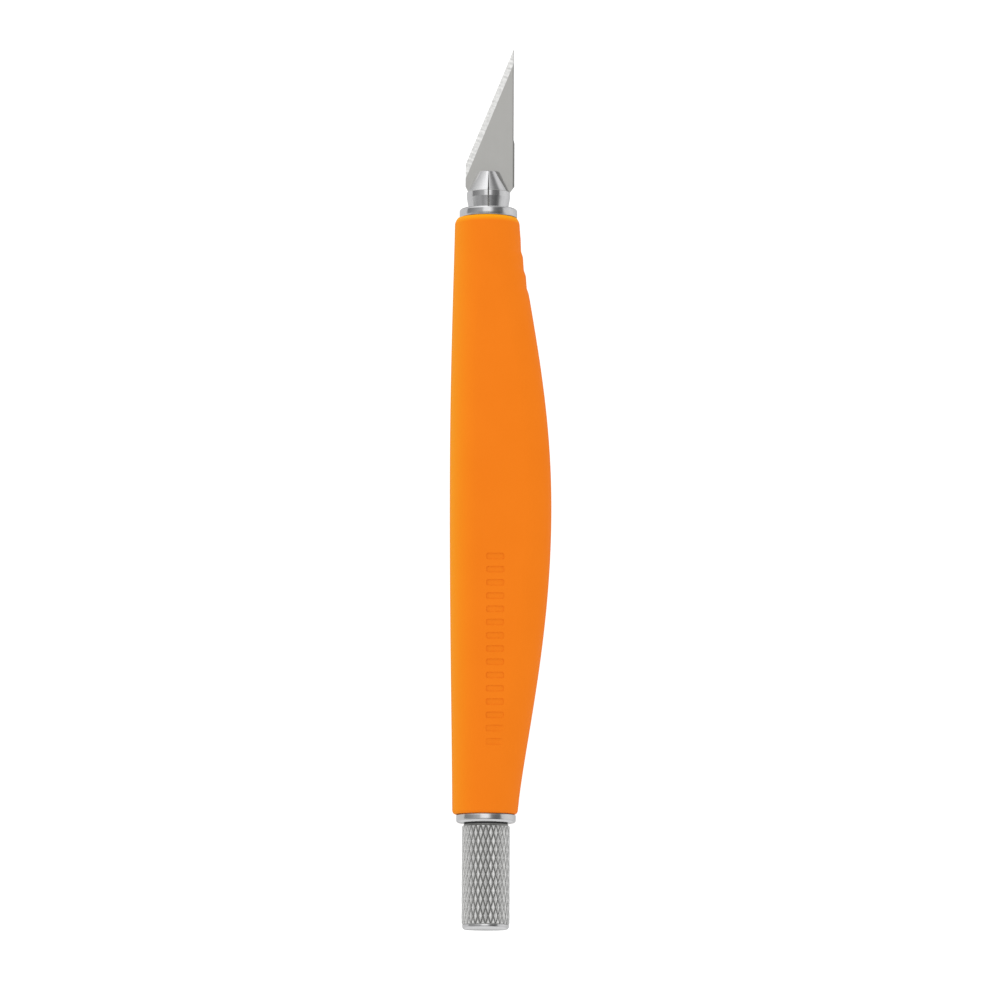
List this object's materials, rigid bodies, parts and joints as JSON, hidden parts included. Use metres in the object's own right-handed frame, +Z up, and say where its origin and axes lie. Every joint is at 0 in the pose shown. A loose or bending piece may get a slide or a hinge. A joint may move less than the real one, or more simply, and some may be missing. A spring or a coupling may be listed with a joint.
{
  "type": "hobby craft knife",
  "caption": "Craft knife with a pointed blade in a four-jaw collet, a soft orange grip with a palm swell, and a knurled tightening knob at the butt.",
  "frame": {"origin": "under the centre of the tool's box, on the plane that the grip lies on", "axes": "+Y along the tool from the knob to the blade's point, +X towards the palm swell and the blade's spine, +Z up from the surface, square to the flat of the blade"},
  "size_m": [0.0182, 0.1588, 0.0127],
  "materials": {
    "soft_orange": "soft matte moulded elastomer",
    "core_plastic": "moulded plastic",
    "turned_aluminium": "bright turned",
    "knurled_aluminium": "diamond knurled",
    "drawn_steel": "bright drawn",
    "spring_steel": "dark tempered",
    "white_nylon": "natural moulded nylon",
    "black_nylon": "black moulded nylon",
    "blade_steel": "satin ground, brighter at the bevel"
  },
  "bodies": {
    "barrel": {"grip_skin": "soft_orange", "grip_core": "core_plastic", "barrel_tube": "turned_aluminium", "nose_collar": "turned_aluminium", "key_pin": "drawn_steel", "rear_collar": "turned_aluminium", "rod_guide": "white_nylon"},
    "knob": {"knob": "knurled_aluminium", "draw_rod": "drawn_steel", "retaining_clip": "spring_steel", "thrust_washer": "black_nylon"},
    "collet": {"collet_body": "turned_aluminium"},
    "jaw_1": {"collet_jaw_1": "turned_aluminium"},
    "jaw_2": {"collet_jaw_2": "turned_aluminium"},
    "jaw_3": {"collet_jaw_3": "turned_aluminium"},
    "jaw_4": {"collet_jaw_4": "turned_aluminium"},
    "blade": {"blade": "blade_steel"}
  },
  "joints": [
    {"name": "knob_turn", "type": "hinge", "parent": "barrel", "child": "knob", "pos_m": [-0.00238, -0.07005, 0.00635], "axis": [0, -1, 0], "range_deg": [0, 900.5]},
    {"name": "collet_slide", "type": "slide", "parent": "barrel", "child": "collet", "axis": [0, 1, 0], "range_m": [0, 0.00125]},
    {"name": "jaw_1_spring", "type": "hinge", "parent": "collet", "child": "jaw_1", "pos_m": [-0.00088, 0.0334, 0.00785], "axis": [0.7071, 0, -0.7071], "range_deg": [0, 0.451]},
    {"name": "jaw_2_spring", "type": "hinge", "parent": "collet", "child": "jaw_2", "pos_m": [-0.00388, 0.0334, 0.00785], "axis": [0.7071, 0, 0.7071], "range_deg": [0, 0.451]},
    {"name": "jaw_3_spring", "type": "hinge", "parent": "collet", "child": "jaw_3", "pos_m": [-0.00388, 0.0334, 0.00485], "axis": [-0.7071, 0, 0.7071], "range_deg": [0, 0.451]},
    {"name": "jaw_4_spring", "type": "hinge", "parent": "collet", "child": "jaw_4", "pos_m": [-0.00088, 0.0334, 0.00485], "axis": [-0.7071, 0, -0.7071], "range_deg": [0, 0.451]},
    {"name": "blade_pull", "type": "slide", "parent": "collet", "child": "blade", "axis": [0, 1, 0], "range_m": [0, 0.021]}
  ],
  "couplings": [
    {"joint": "knob_turn", "follows": "collet_slide", "rad_per_m": 12566},
    {"joint": "jaw_1_spring", "follows": "collet_slide", "rad_per_m": 6.2832},
    {"joint": "jaw_2_spring", "follows": "collet_slide", "rad_per_m": 6.2832},
    {"joint": "jaw_3_spring", "follows": "collet_slide", "rad_per_m": 6.2832},
    {"joint": "jaw_4_spring", "follows": "collet_slide", "rad_per_m": 6.2832}
  ]
}
